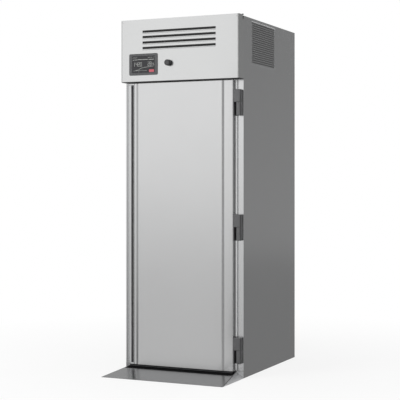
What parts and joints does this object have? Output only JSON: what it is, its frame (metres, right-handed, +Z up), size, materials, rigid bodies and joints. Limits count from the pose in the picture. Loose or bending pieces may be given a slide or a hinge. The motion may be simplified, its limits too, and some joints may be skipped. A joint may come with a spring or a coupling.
{
  "type": "refrigerated proofer",
  "caption": "Tall roll-in retarder proofer cabinet with a hinged insulated door, ramp, lift-up fascia with display and knob, and a refrigerating unit on top.",
  "frame": {"origin": "on the floor under the middle of the cabinet, leaving out the ramp and the fascia", "axes": "+Z up, +X to the right of someone who faces the door, +Y from the door to the back; the door faces -Y"},
  "size_m": [0.884, 1.365, 2.411],
  "materials": {
    "casing": "stainless steel with a fine vertical brush",
    "door_face": "stainless steel with a fine vertical brush, slightly brighter",
    "profile": "satin anodised aluminium",
    "ramp": "stainless steel, nearly mirror bright",
    "lining": "bright annealed stainless steel",
    "galvanised": "galvanised sheet",
    "foam": "foamed polyurethane",
    "gasket": "soft matt rubber",
    "grille": "satin grey coat",
    "hinge": "satin dark grey coat on cast metal",
    "pin": "polished steel",
    "black_steel": "semi-gloss black paint",
    "fins": "thin bare fins",
    "copper": "drawn copper",
    "brass_stub": "turned brass",
    "wire": "bright welded wire",
    "rail": "bent stainless sheet",
    "lamp": "opal cover",
    "plastic_dark": "black moulded plastic",
    "plastic_grey": "grey pipe plastic",
    "plastic_white": "white moulded plastic",
    "bezel": "satin dark grey surround",
    "screen": "glossy black touch glass",
    "knob": "satin black with a bright ring",
    "heater": "oxidised tube"
  },
  "bodies": {
    "cabinet": {"floor_core": "foam", "floor_plate": "lining", "access_ramp": "ramp", "side_panel_left": "casing", "side_panel_right": "casing", "back_panel": "casing", "roof_panel": "casing", "wall_insulation": "foam", "liner_sides": "lining", "liner_back": "lining", "liner_ceiling": "lining", "frame_jambs": "casing", "frame_header": "casing", "vent_grilles": "grille", "machine_tray": "galvanised", "fascia_posts": "casing", "fascia_rail": "casing", "compressor": "black_steel", "compressor_mounts": "gasket", "condenser_coil": "fins", "fan_shroud": "galvanised", "condenser_fan_motor": "black_steel", "liquid_receiver": "black_steel", "filter_drier": "copper", "refrigerant_pipes": "copper", "control_box": "galvanised", "steam_generator": "plastic_white", "steam_pipe": "gasket", "evaporator_coil": "fins", "evaporator_fan_motors": "black_steel", "fan_guards": "wire", "heater_element": "heater", "drain_tray": "lining", "drain_pipe": "plastic_grey", "air_duct_panel": "lining", "bumper_rails": "rail", "chamber_lamp": "lamp", "chamber_probe": "plastic_dark", "hinge_frame_leaves": "hinge", "hinge_pins": "pin", "cable_gland": "plastic_dark", "water_inlet": "brass_stub"},
    "door": {"door_skin": "door_face", "handle_profile": "profile", "door_core": "foam", "door_liner": "lining", "door_gasket": "gasket", "door_sweep": "gasket", "hinge_door_leaves": "hinge"},
    "fascia": {"fascia_shell": "casing", "fascia_hinge_leaf": "casing", "display_bezel": "bezel", "display_glass": "screen", "control_module": "plastic_dark"},
    "encoder": {"encoder_shaft": "pin"},
    "knob": {"control_knob": "knob"},
    "condenser_fan": {"condenser_fan": "plastic_dark"},
    "fan_left": {"evaporator_fan_left": "plastic_dark"},
    "fan_right": {"evaporator_fan_right": "plastic_dark"}
  },
  "joints": [
    {"name": "door_swing", "type": "hinge", "parent": "cabinet", "child": "door", "pos_m": [0.426, -0.5075, 1], "axis": [0, 0, 1], "range_deg": [0, 110]},
    {"name": "fascia_lift", "type": "hinge", "parent": "cabinet", "child": "fascia", "pos_m": [0, -0.5005, 2.405], "axis": [-1, 0, 0], "range_deg": [0, 80]},
    {"name": "knob_press", "type": "slide", "parent": "fascia", "child": "encoder", "axis": [0, 1, 0], "range_m": [0, 0.0015], "stiffness_N_per_m": 400, "springref_m": -0.001},
    {"name": "knob_turn", "type": "hinge", "parent": "encoder", "child": "knob", "pos_m": [-0.073, -0.5895, 2.101], "axis": [0, 1, 0], "continuous": true},
    {"name": "condenser_fan_spin", "type": "hinge", "parent": "cabinet", "child": "condenser_fan", "pos_m": [-0.06, -0.3725, 2.1475], "axis": [0, 1, 0], "continuous": true},
    {"name": "fan_left_spin", "type": "hinge", "parent": "cabinet", "child": "fan_left", "pos_m": [-0.18, 0.3565, 1.78], "axis": [0, 1, 0], "continuous": true},
    {"name": "fan_right_spin", "type": "hinge", "parent": "cabinet", "child": "fan_right", "pos_m": [0.18, 0.3565, 1.78], "axis": [0, 1, 0], "continuous": true}
  ]
}
